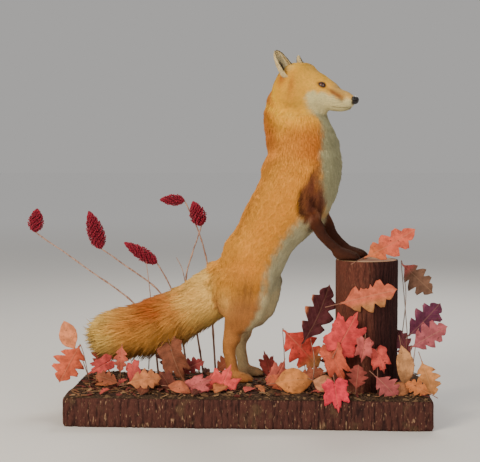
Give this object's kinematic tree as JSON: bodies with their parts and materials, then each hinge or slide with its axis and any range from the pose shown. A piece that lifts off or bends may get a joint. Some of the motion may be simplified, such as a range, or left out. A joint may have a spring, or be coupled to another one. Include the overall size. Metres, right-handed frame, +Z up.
{
  "type": "taxidermy red fox",
  "caption": "Mounted red fox standing upright with its forefeet on a log stump, head raised, on a bark-edged board dressed with autumn leaves and dried sumac stems.",
  "frame": {"origin": "middle of the board's flat underside", "axes": "+X along the board towards the stump, -Y towards the show side that the fox's right flank faces, +Z up"},
  "size_m": [0.9295, 0.3124, 0.7808],
  "materials": {
    "coat_red": "soft dense fur, orange-red guard hairs over a paler underfur",
    "coat_pale": "soft cream fur on throat, bib, belly and tail tip",
    "coat_dark": "short dark brown fur on the legs and the backs of the ears",
    "eye_glass": "polished glass eye, brown with a dark pupil",
    "nose_leather": "fine pebbled dark nose skin, slight sheen",
    "board_bark": "rough bark-edged board, dark brown with pale flecks",
    "forest_litter": "matt crumbled litter and moss",
    "stump_bark": "furrowed matt bark with a pale sawn rim",
    "twig": "thin matt dried stems",
    "sumac_fruit": "dark crimson fuzzy fruit clusters",
    "leaf_tan": "dry leaf, satin, veined",
    "leaf_pink": "dry leaf, satin, veined",
    "leaf_red": "dry leaf, satin, veined",
    "leaf_mauve": "dry leaf, matt, veined",
    "leaf_gold": "dry leaf, satin, veined"
  },
  "bodies": {
    "root": {"head": "coat_red", "nose": "nose_leather", "eye_right": "eye_glass", "ear_right": "coat_dark", "eye_left": "eye_glass", "ear_left": "coat_dark", "neck": "coat_pale", "chest": "coat_red", "trunk": "coat_red", "foreleg_right": "coat_dark", "forepaw_right": "coat_dark", "foreleg_left": "coat_dark", "forepaw_left": "coat_dark", "thigh_right": "coat_red", "shank_right": "coat_dark", "hindpaw_right": "coat_dark", "thigh_left": "coat_red", "shank_left": "coat_dark", "hindpaw_left": "coat_dark", "tail": "coat_red", "tail_tip": "coat_pale", "base_board": "board_bark", "base_soil": "forest_litter", "stump": "stump_bark", "sumac_stem_1": "twig", "sumac_head_1": "sumac_fruit", "sumac_stem_2": "twig", "sumac_head_2": "sumac_fruit", "sumac_stem_3": "twig", "sumac_head_3": "sumac_fruit", "sumac_stem_4": "twig", "sumac_head_4": "sumac_fruit", "sumac_stem_5": "twig", "sumac_head_5": "sumac_fruit", "leaf_01": "leaf_tan", "leaf_02": "leaf_pink", "leaf_03": "leaf_pink", "leaf_04": "leaf_tan", "leaf_05": "leaf_mauve", "leaf_06": "leaf_mauve", "leaf_07": "leaf_red", "leaf_08": "leaf_red", "leaf_09": "leaf_gold", "leaf_10": "leaf_mauve", "leaf_11": "leaf_pink", "leaf_12": "leaf_mauve", "leaf_13": "leaf_pink", "leaf_14": "leaf_red", "leaf_15": "leaf_red", "leaf_16": "leaf_red", "leaf_17": "leaf_pink", "leaf_18": "leaf_mauve", "leaf_19": "leaf_mauve", "leaf_20": "leaf_mauve", "leaf_21": "leaf_gold", "leaf_22": "leaf_gold"}
  },
  "joints": []
}
